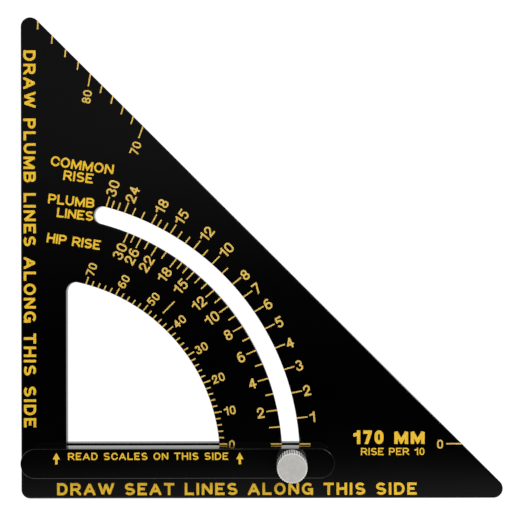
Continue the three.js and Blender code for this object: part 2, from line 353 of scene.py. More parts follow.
def metal(name, dark, light, smooth, rough, scale, bump=0.15):
    """Plated or bare metal: grain in the colour, the gloss and the surface."""
    n = Nodes(name)
    grain = n.noise(scale, detail=6)
    n.set(Base_Color=n.blend(n.ramp(n.noise(scale / 6), 0, 1), dark, light),
          Roughness=n.ramp(grain, smooth, rough), Metallic=1.0)
    n.bump(n.noise(scale * 4, detail=2), bump, 0.00002)
    return n.material


def turned_metal(name, dark, light, smooth, rough):
    """Satin nickel with the fine rings left by the lathe, about the piece's own axis."""
    n = Nodes(name)
    rings = n.add("ShaderNodeTexWave", {"Vector": n.place, "Scale": 2600, "Distortion": 0.6, "Detail": 1.0},
                  wave_type="RINGS", rings_direction="Z").outputs["Fac"]
    n.set(Base_Color=n.blend(n.ramp(n.noise(700), 0, 1), dark, light),
          Roughness=n.ramp(rings, smooth, rough, 0, 1), Metallic=1.0)
    n.bump(rings, 0.12, 0.00001)
    return n.material


def moulded(name, dark, light):
    """Plain moulded plastic with a fine matt grain."""
    n = Nodes(name)
    n.set(Base_Color=n.blend(n.noise(500), dark, light), Roughness=n.ramp(n.noise(1500), 0.4, 0.6),
          Subsurface_Weight=0.15, Subsurface_Scale=0.001)
    n.bump(n.noise(2500), 0.1, 0.00002)
    return n.material


def ink(name, dark, light):
    """Screen-printed ink: slightly uneven cover, and a duller surface than the paint."""
    n = Nodes(name)
    n.set(Base_Color=n.blend(n.ramp(n.noise(1100, detail=4), 0, 1), dark, light),
          Roughness=n.ramp(n.noise(2000), 0.4, 0.6))
    n.bump(n.noise(3000, detail=2), 0.15, 0.00001)
    return n.material


plate_paint = paint("plate_paint", 0.1, 0.13)
bar_paint = paint("bar_paint", 0.09, 0.12)
# Knob nickel: turned face; knurl and rim lighter as painted highlight; grooves dark as painted shade
knob_nickel = turned_metal("knob_nickel", (0.72, 0.708, 0.68), (0.81, 0.795, 0.765), 0.5, 0.62)
knurl_nickel_painted_highlight = metal("knurl_nickel_painted_highlight", (0.91, 0.905, 0.885), (0.97, 0.965, 0.95), 0.5, 0.62, 900, 0.1)
rim_nickel_painted_highlight = metal("rim_nickel_painted_highlight", (0.86, 0.85, 0.83), (0.96, 0.95, 0.93), 0.16, 0.26, 900, 0.1)
groove_nickel_painted_shade = metal("groove_nickel_painted_shade", (0.16, 0.155, 0.145), (0.26, 0.25, 0.235), 0.4, 0.55, 900, 0.1)
# The hidden fasteners and bearings
zinc_steel = metal("zinc_steel", (0.50, 0.52, 0.55), (0.62, 0.64, 0.67), 0.28, 0.42, 900)
spring_steel = metal("spring_steel", (0.16, 0.17, 0.18), (0.24, 0.25, 0.26), 0.3, 0.45, 1200)
bronze = metal("sleeve_bronze", (0.42, 0.26, 0.11), (0.55, 0.36, 0.17), 0.35, 0.5, 1400)
nylon = moulded("nylon", (0.66, 0.63, 0.55), (0.74, 0.71, 0.63))
# The wording's ink and the scales' paler one
gold_ink = ink("gold_ink", (0.88, 0.51, 0.016), (1.0, 0.63, 0.028))
pale_ink = ink("pale_ink", (0.76, 0.485, 0.08), (0.88, 0.60, 0.12))

CAD_FINISHES = {
    "pivot_sleeve": bronze,
    "pivot_front_washer": nylon,
    "pivot_rear_washer": nylon,
    "clamp_front_washer": nylon,
    "clamp_rear_washer": nylon,
    "slot_guide": nylon,
    "pivot_spring_washer": spring_steel,
}
for node, finish in CAD_FINISHES.items():
    mesh = frame["nodes"][node].data
    mesh.materials.clear()
    mesh.materials.append(finish)

# Plate -----------------------------------------------------------------------------------------

plate = Solid()
plate_sides = [plate.side(stamped(outline, PLATE_BOTTOM, PLATE_TOP))
               for outline in (plate_outline, window_outline, slot_outline)]
plate_sides.append(plate.side(fillet(lambda inset: circle(PIVOT_HOLE + inset), PIVOT_HOLE_FILLET,
                                     PLATE_BOTTOM, PLATE_TOP)))
plate.flat(*[low for low, high in plate_sides])
plate.flat(*[high for low, high in plate_sides])
plate.make("plate_enamelled", PIVOT_AXIS, "plate", plate_paint, "plate_paint", ["square_plate"])

# Bars ------------------------------------------------------------------------------------------

# The threaded pivot bore is blind, so the front bar shows no fastener at that end.
front = Solid()
low, high = front.side(fillet(bar_outline, BAR_FILLET, FRONT_BOTTOM, FRONT_TOP, REAR_FILLET))
recess_top = FRONT_BOTTOM + RECESS_DEPTH
bore_top = FRONT_BOTTOM + PIVOT_BORE_DEPTH
pivot_mouth, pivot_end = front.bore([
    (circle(RECESS_RADIUS), FRONT_BOTTOM, recess_top),
    (circle(PIVOT_BORE), recess_top, bore_top),
])
front.flat(pivot_end)
clamp_mouth, clamp_end = front.bore([
    (circle(RECESS_RADIUS, CLAMP_X), FRONT_BOTTOM, recess_top),
    (circle(STUD_BORE, CLAMP_X), recess_top, FRONT_TOP),
])
front.flat(low, pivot_mouth, clamp_mouth)
front.flat(high, clamp_end)
front.make("front_bar_enamelled", PIVOT_AXIS, "arm", bar_paint, "bar_paint", ["front_bar"])

rear = Solid()
low, high = rear.side(fillet(bar_outline, REAR_FILLET, REAR_BOTTOM, REAR_TOP))
recess_bottom = REAR_TOP - RECESS_DEPTH
pivot_mouth, pivot_end = rear.bore([
    (circle(HEAD_BORE), REAR_BOTTOM, REAR_BOTTOM + HEAD_BORE_DEPTH),
    (circle(PIVOT_BORE), REAR_BOTTOM + HEAD_BORE_DEPTH, recess_bottom),
    (circle(RECESS_RADIUS), recess_bottom, REAR_TOP),
])
clamp_mouth, clamp_end = rear.bore([
    (hexagon(NUT_POCKET, CLAMP_X), REAR_BOTTOM, REAR_BOTTOM + NUT_POCKET_DEPTH),
    (circle(STUD_BORE, CLAMP_X), REAR_BOTTOM + NUT_POCKET_DEPTH, recess_bottom),
    (circle(RECESS_RADIUS, CLAMP_X), recess_bottom, REAR_TOP),
])
rear.flat(low, pivot_mouth, clamp_mouth)
rear.flat(high, pivot_end, clamp_end)
rear.make("rear_bar_enamelled", PIVOT_AXIS, "arm", bar_paint, "bar_paint", ["rear_bar"])

# Screws, nut and washer ------------------------------------------------------------------------


def around(radius_at, count):
    """A ring whose radius depends on the angle."""
    angles = [2 * math.pi * i / count for i in range(count)]
    return [(radius_at(a) * math.cos(a), radius_at(a) * math.sin(a)) for a in angles]


RINGS_PER_TURN = 10
GROOVE_LIMIT, GROOVE_SLOPE = 1.5, 3.6  # a thread's trapezium section, over one pitch


def threaded(major, depth, pitch, bottom, top, chamfer, sides=48):
    """Levels of a rod with a right-hand thread and chamfered ends."""
    count = math.ceil((top - bottom) / pitch * RINGS_PER_TURN)
    rings = []
    for i in range(count + 1):
        z = bottom + (top - bottom) * i / count
        end = major - chamfer + min(z - bottom, top - z)

        def radius(angle, z=z, end=end):
            phase = (z / pitch - angle / (2 * math.pi)) % 1
            groove = min(1, max(0, GROOVE_LIMIT - GROOVE_SLOPE * abs(phase - 0.5)))
            return min(end, major - depth * groove)

        rings.append((around(radius, sides), z))
    return rings


THREAD_PITCH = 0.7
THREAD_DEPTH = 0.3
STUD_CHAMFER = 0.3
stud_bottom, stud_top = levels("thumb_stud")
stud_low, stud_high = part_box("thumb_stud")
STUD_RADIUS = (stud_high.x - stud_low.x) / MM / 2
stud = Solid()
low, high = stud.side(threaded(STUD_RADIUS, THREAD_DEPTH, THREAD_PITCH, stud_bottom, stud_top, STUD_CHAMFER))
stud.flat(low)
stud.flat(high)
stud.make("thumb_stud_threaded", CLAMP_AXIS, "thumb_screw", zinc_steel, "zinc_steel", ["thumb_stud"])

screw_bottom, screw_top = levels("pivot_screw")
HEAD_RADIUS = 3.4
HEAD_THICKNESS = 1
HEAD_FILLET = 0.3
HEAD_UNDER_FILLET = 0.1
SOCKET_RADIUS = 1.3
SOCKET_DEPTH = 0.6
SOCKET_MOUTH = 1.55
SOCKET_MOUTH_DEPTH = 0.12
PIVOT_THREAD = (1.5, 0.2, 0.5)  # radius, depth, pitch
PIVOT_SCREW_CHAMFER = 0.1
head_top = screw_bottom + HEAD_THICKNESS
screw = Solid()
low, high = screw.side(fillet(lambda inset: circle(HEAD_RADIUS - inset), HEAD_UNDER_FILLET, screw_bottom,
                              head_top, HEAD_FILLET))
neck, tip = screw.side(threaded(*PIVOT_THREAD, head_top, screw_top, PIVOT_SCREW_CHAMFER, sides=64))
screw.flat(high, neck)
screw.flat(tip)
mouth, floor_ring = screw.bore([
    (circle(SOCKET_MOUTH), screw_bottom, screw_bottom + SOCKET_MOUTH_DEPTH),
    (hexagon(SOCKET_RADIUS), screw_bottom + SOCKET_MOUTH_DEPTH, screw_bottom + SOCKET_DEPTH),
])
screw.flat(floor_ring)
screw.flat(low, mouth)
screw.make("pivot_screw_threaded", PIVOT_AXIS, "arm", zinc_steel, "zinc_steel", ["pivot_screw"])

NUT_RADIUS = 3.9  # across corners
NUT_APOTHEM = NUT_RADIUS * math.cos(math.pi / 6)
NUT_CHAMFER = 0.35
NUT_CHAMFER_SLOPE = 1.7
NUT_STEPS = 12
NUT_BORE_GAP = 0.2  # beyond the stud's radius
NUT_MOUTH_GAP = 0.35
NUT_MOUTH_DEPTH = 0.25
nut_bottom, nut_top = levels("clamp_nut")
nut = Solid()
nut_rings = []
for i in range(NUT_STEPS + 1):
    z = nut_bottom + (nut_top - nut_bottom) * i / NUT_STEPS
    cone = NUT_APOTHEM + NUT_CHAMFER_SLOPE * min(z - nut_bottom, nut_top - z, NUT_CHAMFER)

    def nut_edge(angle, cone=cone):
        flat = NUT_APOTHEM / math.cos((angle % (math.pi / 3)) - math.pi / 6)
        return min(flat, cone)

    nut_rings.append((around(nut_edge, 96), z))
low, high = nut.side(nut_rings)
near, far = nut.side([(circle(STUD_RADIUS + gap, sides=48), z) for gap, z in (
    (NUT_MOUTH_GAP, nut_bottom), (NUT_BORE_GAP, nut_bottom + NUT_MOUTH_DEPTH),
    (NUT_BORE_GAP, nut_top - NUT_MOUTH_DEPTH), (NUT_MOUTH_GAP, nut_top))])
nut.flat(low, near)
nut.flat(high, far)
nut.make("clamp_nut_chamfered", CLAMP_AXIS, "arm", zinc_steel, "zinc_steel", ["clamp_nut"])

WASHER_BORE = 2.25
washer_bottom, washer_top = levels("knob_washer")
washer_low, washer_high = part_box("knob_washer")
WASHER_RADIUS = (washer_high.x - washer_low.x) / MM / 2
WASHER_EDGE = 0.12
WASHER_BURR = 0.03
revolved([
    (WASHER_BORE, washer_bottom),
    (WASHER_RADIUS - WASHER_BURR, washer_bottom),
    (WASHER_RADIUS, washer_bottom + WASHER_BURR),
    (WASHER_RADIUS, washer_top - WASHER_EDGE),
    (WASHER_RADIUS - WASHER_EDGE / 3, washer_top - WASHER_EDGE / 3),
    (WASHER_RADIUS - WASHER_EDGE, washer_top),
    (WASHER_BORE + WASHER_EDGE / 2, washer_top),
    (WASHER_BORE, washer_top - WASHER_EDGE / 2),
]).make("knob_washer_stamped", CLAMP_AXIS, "lifting_washer", zinc_steel, "zinc_steel", ["knob_washer"])

# Thumb knob ------------------------------------------------------------------------------------

KNOB_CHAMFER = 0.45
KNURL_TEETH = 36
KNURL_DEPTH = 0.32
KNURL_SAMPLES = 10
KNURL_POWER = 1.1
KNURL_GAIN = 1.15
GROOVE_SHARE = 0.62  # depth from which a groove is painted dark as shade
KNOB_BORE = 2.25
KNOB_BORE_DEPTH = 3.25
knob_bottom, knob_top = levels("thumb_knob")
knob_low, knob_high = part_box("thumb_knob")
KNOB_RADIUS = (knob_high.x - knob_low.x) / MM / 2


def knurl(angle):
    """Straight knurl: V grooves between narrow rounded crests."""
    across = abs((angle * KNURL_TEETH / (2 * math.pi)) % 1 - 0.5) * 2
    return KNOB_RADIUS - KNURL_DEPTH * min(1, max(0, 1 - across) ** KNURL_POWER * KNURL_GAIN)


CHAMFER_SHARES = (0, 0.12, 0.3, 0.5, 0.7, 0.88, 1)
knob_rings = [(KNOB_RADIUS - KNOB_CHAMFER * (1 - share), knob_bottom + KNOB_CHAMFER * share)
              for share in CHAMFER_SHARES]
knob_rings += [(KNOB_RADIUS - KNOB_CHAMFER * share, knob_top - KNOB_CHAMFER * (1 - share))
               for share in CHAMFER_SHARES]
knob = Solid()
low, high = knob.side([
    (around(lambda angle, cone=cone: min(knurl(angle), cone), KNURL_TEETH * KNURL_SAMPLES), z)
    for cone, z in knob_rings
])
bore_ring = circle(KNOB_BORE, sides=48)
near, far = knob.side([(bore_ring, knob_bottom), (bore_ring, knob_bottom + KNOB_BORE_DEPTH)])
knob.flat(far)
knob.flat(low, near)
knob_finishes = (knob_nickel, knurl_nickel_painted_highlight, rim_nickel_painted_highlight, groove_nickel_painted_shade)
# Rim and knurl take lighter copies as painted highlight; faces deep in the grooves a dark one as painted
# shade
for face in knob.bm.faces:
    centre = face.calc_center_median() / MM
    depth = KNOB_RADIUS - math.hypot(centre.x, centre.y)
    if centre.z > knob_top - KNOB_CHAMFER:
        finish = rim_nickel_painted_highlight
    elif centre.z > knob_bottom + KNOB_CHAMFER and depth > GROOVE_SHARE * KNURL_DEPTH:
        finish = groove_nickel_painted_shade
    else:
        finish = knurl_nickel_painted_highlight
    face.material_index = knob_finishes.index(finish)
knob.flat(high)
knob_piece = knob.make("thumb_knob_knurled", CLAMP_AXIS, "thumb_screw", knob_nickel, "knob_nickel",
                       ["thumb_knob"])
for finish in knob_finishes[1:]:
    knob_piece.data.materials.append(finish)

# Lettering -------------------------------------------------------------------------------------

# Plain block characters, as pen strokes in a unit square. Each entry is (width, strokes), with the
# width as a share of the height.


def bow(cx, cy, rx, ry, start, end):
    """Points along part of an ellipse, with angles in degrees."""
    count = max(2, math.ceil(abs(end - start) / 15))
    angles = [math.radians(start + (end - start) * i / count) for i in range(count + 1)]
    return [(cx + rx * math.cos(a), cy + ry * math.sin(a)) for a in angles]


def bowl(low, high, reach=1.0):
    """A half-round bowl on a stem at x = 0, between two heights."""
    radius = (high - low) / 2
    return ([(0, high)] + bow(reach * 0.58, high - radius, reach * 0.42, radius, 90, -90) + [(0, low)])


STEM = [(0, 0), (0, 1)]
RING = bow(0.5, 0.5, 0.5, 0.5, 90, 450)
OVAL = bow(0.5, 0.66, 0.5, 0.34, 0, 180) + bow(0.5, 0.34, 0.5, 0.34, 180, 360) + [(1, 0.66)]
SIX = [bow(0.5, 0.31, 0.5, 0.31, 90, 450), bow(0.54, 0.6, 0.54, 0.4, 48, 180) + [(0, 0.31)]]
NINE = [[(1 - x, 1 - y) for x, y in stroke] for stroke in SIX]
GLYPHS = {
    " ": (0.42, []),
    "0": (0.66, [OVAL]),
    "1": (0.54, [[(0.9, 0), (0.9, 1)], [(0.9, 0.98), (0.62, 0.8), (0, 0.74)]]),
    "2": (0.66, [bow(0.48, 0.71, 0.48, 0.29, 170, -38) + [(0.06, 0.06), (0, 0)], [(0, 0), (1, 0)]]),
    "3": (0.66, [bow(0.47, 0.75, 0.45, 0.25, 160, -90), bow(0.47, 0.26, 0.5, 0.26, 90, -160)]),
    "4": (0.68, [[(0.72, 0), (0.72, 1), (0, 0.28), (1, 0.28)]]),
    "5": (0.66, [[(0.94, 1), (0.18, 1), (0.08, 0.5)] + bow(0.47, 0.33, 0.5, 0.33, 128, -155)]),
    "6": (0.66, SIX),
    "7": (0.64, [[(0, 1), (1, 1), (0.36, 0)]]),
    "8": (0.66, [bow(0.5, 0.755, 0.42, 0.245, 90, 450), bow(0.5, 0.26, 0.5, 0.26, 90, 450)]),
    "9": (0.66, NINE),
    "A": (0.96, [[(0, 0), (0.5, 1), (1, 0)], [(0.2, 0.3), (0.8, 0.3)]]),
    "C": (0.86, [bow(0.56, 0.5, 0.56, 0.5, 38, 322)]),
    "D": (0.86, [[(0, 0), (0, 1)] + bow(0.5, 0.5, 0.5, 0.5, 90, -90) + [(0, 0)]]),
    "E": (0.76, [[(1, 0), (0, 0), (0, 1), (1, 1)], [(0, 0.51), (0.9, 0.51)]]),
    "G": (0.92, [bow(0.52, 0.5, 0.52, 0.5, 42, 338), [(0.56, 0.44), (1, 0.44), (1, 0)]]),
    "H": (0.86, [STEM, [(1, 0), (1, 1)], [(0, 0.51), (1, 0.51)]]),
    "I": (0, [[(0.5, 0), (0.5, 1)]]),
    "L": (0.74, [[(0, 1), (0, 0), (1, 0)]]),
    "M": (1.02, [[(0, 0), (0, 1), (0.5, 0.08), (1, 1), (1, 0)]]),
    "B": (0.86, [STEM, bowl(0.52, 1, 0.94), bowl(0, 0.52)]),
    "N": (0.88, [[(0, 0), (0, 1), (1, 0), (1, 1)]]),
    "O": (0.94, [RING]),
    "P": (0.82, [STEM, bowl(0.44, 1)]),
    "R": (0.88, [STEM, bowl(0.46, 1, 0.96), [(0.5, 0.46), (1, 0)]]),
    "S": (0.84, [bow(0.5, 0.745, 0.46, 0.255, 28, 270) + bow(0.5, 0.245, 0.5, 0.245, 90, -152)[1:]]),
    "T": (0.84, [[(0, 1), (1, 1)], [(0.5, 0), (0.5, 1)]]),
    "U": (0.86, [[(0, 1)] + bow(0.5, 0.4, 0.5, 0.4, 180, 360) + [(1, 1)]]),
    "W": (1.3, [[(0, 1), (0.25, 0), (0.5, 1), (0.75, 0), (1, 1)]]),
}


def clipped(polygon, width, height):
    """A convex polygon cut to the box from 0 to width and 0 to height."""
    for axis, limit, sign in ((0, 0, 1), (0, width, -1), (1, 0, 1), (1, height, -1)):
        kept = []
        for here, there in zip(polygon, polygon[1:] + polygon[:1]):
            a, b = sign * (here[axis] - limit), sign * (there[axis] - limit)
            if a >= 0:
                kept.append(here)
            if (a > 0 > b) or (a < 0 < b):
                t = a / (a - b)
                kept.append((here[0] + t * (there[0] - here[0]), here[1] + t * (there[1] - here[1])))
        polygon = kept
    return polygon


MITRE_LIMIT = 2.2  # in half stroke widths
STRAIGHT = 1e-4  # a turn too slight to need a corner
EDGE_BAND = 1.05  # in half stroke widths


def ribbon(points, weight, width, height):
    """Convex polygons that cover a pen stroke. Ends on the box's edge run on through it."""
    half = weight / 2
    path = [Vector(p) for p in points]
    closed = (path[0] - path[-1]).length < half * 0.05

    near = half * EDGE_BAND

    def on_edge(p):
        return p.x < near or p.x > width - near or p.y < near or p.y > height - near

    if not closed:
        for end, beside in ((0, 1), (-1, -2)):
            if on_edge(path[end]):
                path[end] = path[end] + (path[end] - path[beside]).normalized() * weight
    pieces = []
    runs = []
    for a, b in zip(path, path[1:]):
        along = (b - a).normalized()
        across = Vector((-along.y, along.x)) * half
        runs.append((a, b, along, across))
        pieces.append([a + across, a - across, b - across, b + across])
    for first, second in zip(runs, runs[1:] + (runs[:1] if closed else [])):
        turn = first[2].cross(second[2])
        if abs(turn) < STRAIGHT:
            continue
        side = -1 if turn > 0 else 1
        corner = first[1]
        one, two = corner + side * first[3], corner + side * second[3]
        middle = side * (first[3] + second[3])
        reach = half * half / (middle.length / 2) if middle.length > 1e-6 else 0
        wedge = [corner, one]
        if 0 < reach < MITRE_LIMIT * half:
            wedge.append(corner + middle.normalized() * reach)
        wedge.append(two)
        pieces.append(wedge if side < 0 else wedge[::-1])
    return [clipped([tuple(p) for p in piece], width, height) for piece in pieces]


def glyph_width(character, size, weight):
    return max(GLYPHS[character][0] * size, weight if character != " " else 0)


def glyph(character, size, weight):
    """The polygons of one character, with its lower left corner at the origin."""
    width = glyph_width(character, size, weight)
    polygons = []
    for stroke in GLYPHS[character][1]:
        points = [(weight / 2 + x * (width - weight), weight / 2 + y * (size - weight)) for x, y in stroke]
        polygons += ribbon(points, weight, width, size)
    return [p for p in polygons if len(p) > 2]


INK_HEIGHT = 0.03
INK_DEPTH = 0.03


class Print:
    """One colour of print on a surface, as a thin closed layer. Millimetres from the pivot."""

    def __init__(self, level, drop=lambda x, y: 0):
        self.bm = bmesh.new()
        self.level = level
        self.drop = drop

    def patch(self, polygons):
        """Adds the area that the polygons cover together."""
        points, faces = [], []
        for polygon in polygons:
            faces.append(list(range(len(points), len(points) + len(polygon))))
            points += [Vector(p) for p in polygon]
        flat, _, triangles, _, _, sources = delaunay_2d_cdt(points, [], faces, 1, 1e-5)
        kept = [t for t, source in zip(triangles, sources) if source]
        top, bottom = {}, {}
        for i in sorted({i for t in kept for i in t}):
            x, y = flat[i]
            surface = self.level - self.drop(x, y)
            top[i] = self.bm.verts.new((x * MM, y * MM, (surface + INK_HEIGHT) * MM))
            bottom[i] = self.bm.verts.new((x * MM, y * MM, (surface - INK_DEPTH) * MM))
        edges = {(t[k], t[(k + 1) % 3]) for t in kept for k in range(3)}
        for t in kept:
            self.bm.faces.new([top[i] for i in t])
            self.bm.faces.new([bottom[i] for i in reversed(t)])
        for a, b in edges:
            if (b, a) not in edges:
                self.bm.faces.new((top[b], top[a], bottom[a], bottom[b]))

    def place(self, polygons, x, y, angle):
        """Adds polygons drawn about the origin, turned by angle and moved to x, y."""
        c, s = math.cos(angle), math.sin(angle)
        self.patch([[(x + c * px - s * py, y + s * px + c * py) for px, py in p] for p in polygons])

    def line(self, text, x, y, angle, size, weight, gap, align=0.5, height=0.5):
        """Prints text with the point at (align, height) of its box at x, y."""
        widths = [glyph_width(character, size, weight) for character in text]
        length = sum(widths) + gap * (len(text) - 1)
        pen = -align * length
        for character, width in zip(text, widths):
            shapes = [[(px + pen, py - height * size) for px, py in p]
                      for p in glyph(character, size, weight)]
            if shapes:
                self.place(shapes, x, y, angle)
            pen += width + gap

    def fitted(self, text, x, y, angle, size, weight, length):
        """Prints text from x, y with the gaps that make it length long."""
        widths = [glyph_width(character, size, weight) for character in text]
        gap = (length - sum(widths)) / (len(text) - 1)
        self.line(text, x, y, angle, size, weight, gap, align=0, height=0)

    def make(self, name, body, material):
        """Makes the piece. It takes no material slot, so that repainting the metal leaves the print."""
        bmesh.ops.recalc_face_normals(self.bm, faces=self.bm.faces[:])
        mesh = bpy.data.meshes.new(name)
        self.bm.to_mesh(mesh)
        self.bm.free()
        mesh.materials.append(material)
        piece = bpy.data.objects.new(name, mesh)
        piece.location = PIVOT_AXIS
        bpy.context.scene.collection.objects.link(piece)
        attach(piece, body)


# Scales ----------------------------------------------------------------------------------------

# Every mark lies on a line that leaves the pivot at its angle, moved over to the bar's upper edge.
READING_OFFSET = 5.34
PRINT_SHIFT = (0.1, 0.2)  # how far the print sits from its true place
LABEL_DROP = 0.16  # how far labels sit below the line of their marks
TICK_WIDTH = 0.48
EDGE_SPLITS = (0.01, 0.03, 0.06, 0.11, 0.19, 0.31, 0.43, 0.55, 0.67, 0.79)  # from an edge, where marks bend


def slot_distance(x, y):
    """How far a point of the plate's face is from the slot, with its round ends."""
    turn = min(SLOT_END, max(0, math.atan2(y, x)))
    across = math.hypot(x - SLOT_RADIUS * math.cos(turn), y - SLOT_RADIUS * math.sin(turn))
    return abs(across - SLOT_HALF_WIDTH)


def slot_drop(x, y):
    return roll_drop(slot_distance(x, y))


def edge_drop(x, y):
    """How far the face has fallen beside the window's curve, the slot or the diagonal edge."""
    return roll_drop(min(abs(math.hypot(x, y) - WINDOW_RADIUS), slot_distance(x, y),
                         abs(DIAGONAL - x - y) / math.sqrt(2)))


def offset_at(angle):
    """How far the reading line passes from the pivot, with the print's shift across it."""
    return READING_OFFSET - PRINT_SHIFT[0] * math.sin(angle) + PRINT_SHIFT[1] * math.cos(angle)


def tick(printed, angle, start, end, splits=()):
    """A mark along the reading line from start to end, cut at splits so that it can bend there."""
    stops = [start] + [s for s in splits if min(start, end) < s < max(start, end)] + [end]
    low, high = offset_at(angle) - TICK_WIDTH / 2, offset_at(angle) + TICK_WIDTH / 2
    quads = [[(a, low), (b, low), (b, high), (a, high)] for a, b in zip(sorted(stops), sorted(stops)[1:])]
    printed.place(quads, 0, 0, angle)


def along_to_radius(radius, angle):
    """How far along the reading line it reaches a radius from the pivot."""
    return math.sqrt(radius**2 - offset_at(angle)**2)


def along_to_diagonal(angle):
    """How far along the reading line it reaches the diagonal edge."""
    c, s = math.cos(angle), math.sin(angle)
    return (DIAGONAL - offset_at(angle) * (c - s)) / (c + s)


def label(printed, text, angle, centre, size, weight, gap):
    """Text centred on the reading line, at a distance along it."""
    c, s = math.cos(angle), math.sin(angle)
    offset = offset_at(angle) - LABEL_DROP
    x, y = centre * c - offset * s, centre * s + offset * c
    printed.line(text, x, y, angle, size, weight, gap)


SMALL_WEIGHT = 0.54
SMALL_GAP = 0.43
DEGREE_STEP = 2
LABEL_STEP = 10

# Degrees, on the window's curved edge
DEGREE_SIZE = 3.1
DEGREE_MAJOR = 2.8
DEGREE_MINOR = 1.9
DEGREE_LABEL = {1: 69.0, 2: 70.25}  # distance by number of digits
HALF_RIGHT_MARK = (68.3, 74.3)  # the unnumbered mark at 45 degrees
degrees = Print(PLATE_TOP, edge_drop)
for value in range(0, 71, DEGREE_STEP):
    angle = math.radians(value)
    major = value % LABEL_STEP == 0
    stops = [along_to_radius(WINDOW_RADIUS + d, angle) for d in EDGE_SPLITS]
    tick(degrees, angle, stops[0], stops[0] + (DEGREE_MAJOR if major else DEGREE_MINOR), stops)
    if major:
        text = str(value)
        label(degrees, text, angle, DEGREE_LABEL[len(text)], DEGREE_SIZE, SMALL_WEIGHT, SMALL_GAP)
tick(degrees, math.radians(45), *HALF_RIGHT_MARK)
degrees.make("degree_scale_print", "plate", pale_ink)

# Rises over a run of 10 for common rafters, outside the slot, and of 10 root 2 for hips, inside it
RISE_SIZE = 3.85
RISE_WEIGHT = 0.62
RISE_GAP = 0.5
RISE_MAJOR = 3.9
RISE_MINOR = 2.9
COMMON_RUN = 10
HIP_RUN = 10 * math.sqrt(2)
COMMON_LABELS = (1, 2, 3, 4, 5, 6, 7, 8, 10, 12, 15, 18, 24, 30)
COMMON_MINORS = (9, 11, 13, 14, 16, 17, 20, 22, 26, 28)
HIP_LABELS = (2, 4, 6, 8, 10, 12, 15, 18, 22, 26, 30)
HIP_MINORS = (1, 3, 5, 7, 9, 11, 13, 14, 16, 17, 20, 24, 28)
LONG_PLAIN = (0, 1)  # long marks that may stand without a number
COMMON_LABEL = {1: 98.7, 2: 100.2}  # distance by number of digits
HIP_LABEL = {1: 80.8, 2: 79.6}


def rise_scale(name, run, outward, labels, minors, label_at):
    """Marks and numbers along one side of the slot: outward is 1 for its outer side and -1 for its inner."""
    printed = Print(PLATE_TOP, edge_drop)
    for value in (0, *labels, *minors):
        angle = math.atan2(value, run)
        stops = [along_to_radius(SLOT_RADIUS + outward * (SLOT_HALF_WIDTH + d), angle) for d in EDGE_SPLITS]
        length = RISE_MINOR if value in minors and value not in LONG_PLAIN else RISE_MAJOR
        tick(printed, angle, stops[0], stops[0] + outward * length, stops)
        if value in labels:
            text = str(value)
            label(printed, text, angle, label_at[len(text)], RISE_SIZE, RISE_WEIGHT, RISE_GAP)
    printed.make(name, "plate", pale_ink)


rise_scale("common_rise_print", COMMON_RUN, 1, COMMON_LABELS, COMMON_MINORS, COMMON_LABEL)
rise_scale("hip_rise_print", HIP_RUN, -1, HIP_LABELS, HIP_MINORS, HIP_LABEL)

# Degrees, on the diagonal edge
EDGE_SIZE = 3.2
EDGE_ZERO = 5.5
EDGE_MAJOR = 4.6
EDGE_MINOR = 2.9
EDGE_LABEL = {1: 7.75, 2: 8.35}  # from the edge to a label's middle
edge_scale = Print(PLATE_TOP, edge_drop)
for value in (0, *range(70, 90, DEGREE_STEP)):
    angle = math.radians(value)
    end = along_to_diagonal(angle)
    slant = math.sqrt(2) / (math.cos(angle) + math.sin(angle))
    stops = [end - d * slant for d in EDGE_SPLITS]
    major = value % LABEL_STEP == 0
    length = EDGE_ZERO if value == 0 else EDGE_MAJOR if major else EDGE_MINOR
    tick(edge_scale, angle, end - length, stops[1], stops)
    if major:
        text = str(value)
        label(edge_scale, text, angle, end - EDGE_LABEL[len(text)], EDGE_SIZE, SMALL_WEIGHT, SMALL_GAP)
edge_scale.make("edge_degree_print", "plate", pale_ink)

# Lettering on the plate
BOLD_SIZE = 4.35
BOLD_WEIGHT = 0.92
SLOT_TEXT_WEIGHT = 0.67
RIGHT_MARGIN = 137.6
PLUMB_START, PLUMB_LENGTH = (-5.01, 145.8), 134.2
SEAT_START, SEAT_LENGTH = (6.75, -12.6), 127.95
wording = Print(PLATE_TOP, slot_drop)
wording.fitted("DRAW PLUMB LINES ALONG THIS SIDE", *PLUMB_START, -math.pi / 2, BOLD_SIZE, BOLD_WEIGHT,
               PLUMB_LENGTH)
wording.fitted("DRAW SEAT LINES ALONG THIS SIDE", *SEAT_START, 0, BOLD_SIZE, BOLD_WEIGHT, SEAT_LENGTH)
SLOT_TEXT = (("COMMON", 15.9, 104.9, -8.5, 3.6, 0.44), ("RISE", 14.5, 100.75, -7.5, 3.5, 0.42),
             ("PLUMB", 12.0, 92.2, -6.2, 3.45, 0.42), ("LINES", 13.35, 87.4, -6.5, 3.4, 0.34),
             ("HIP RISE", 12.8, 77.8, -8.5, 3.4, 0.32))  # text, middle x and y, turn, size, gap
for text, x, y, turn, size, gap in SLOT_TEXT:
    wording.line(text, x, y, math.radians(turn), size, SLOT_TEXT_WEIGHT, gap)
wording.line("170 MM", RIGHT_MARGIN, 7.9, 0, size=4.85, weight=1.22, gap=0.9, align=1)
wording.line("RISE PER 10", RIGHT_MARGIN - 0.1, 2.8, 0, size=2.6, weight=0.44, gap=0.4, align=1)
wording.make("plate_wording_print", "plate", gold_ink)

